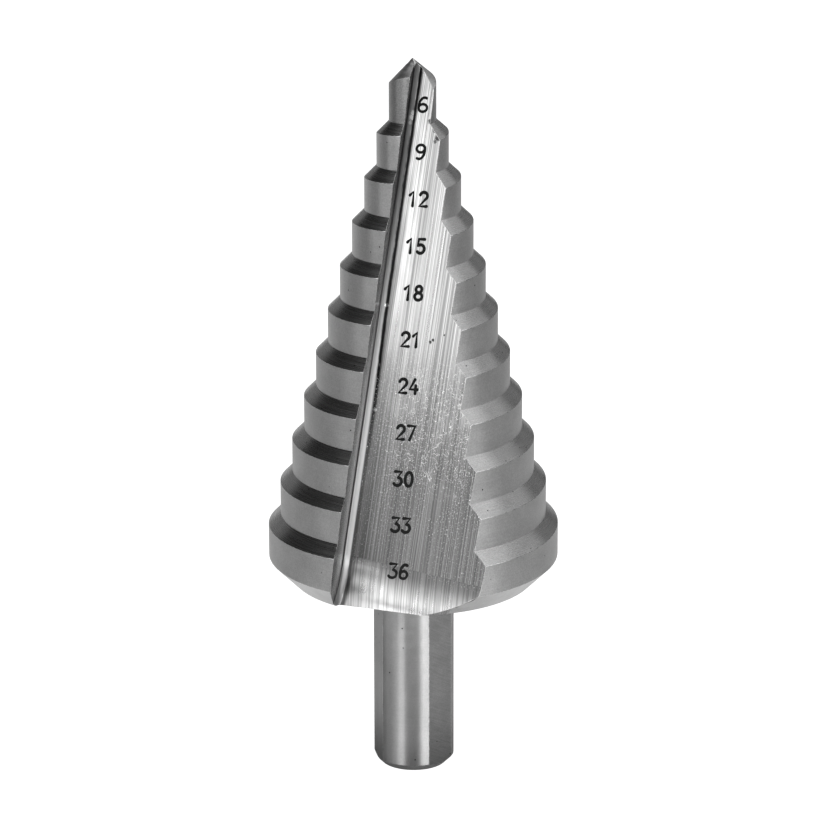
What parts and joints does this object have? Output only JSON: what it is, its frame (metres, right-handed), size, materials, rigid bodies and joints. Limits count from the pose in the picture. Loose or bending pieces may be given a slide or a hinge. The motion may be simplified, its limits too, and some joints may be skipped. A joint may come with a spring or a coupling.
{
  "type": "step drill",
  "caption": "Stepped conical drill bit ground from one bar of tool steel, with straight flutes, relieved steps, a split point and a round shank with flats.",
  "frame": {"origin": "centre of the shank's end face, on the drill's axis", "axes": "+Z along the axis from the shank end to the tip; -Y is the side that shows in the picture, with the numbered flute face"},
  "size_m": [0.0358, 0.0318, 0.0903],
  "materials": {
    "tool_steel": "ground high speed steel"
  },
  "bodies": {
    "root": {"step_drill": "tool_steel"}
  },
  "joints": []
}
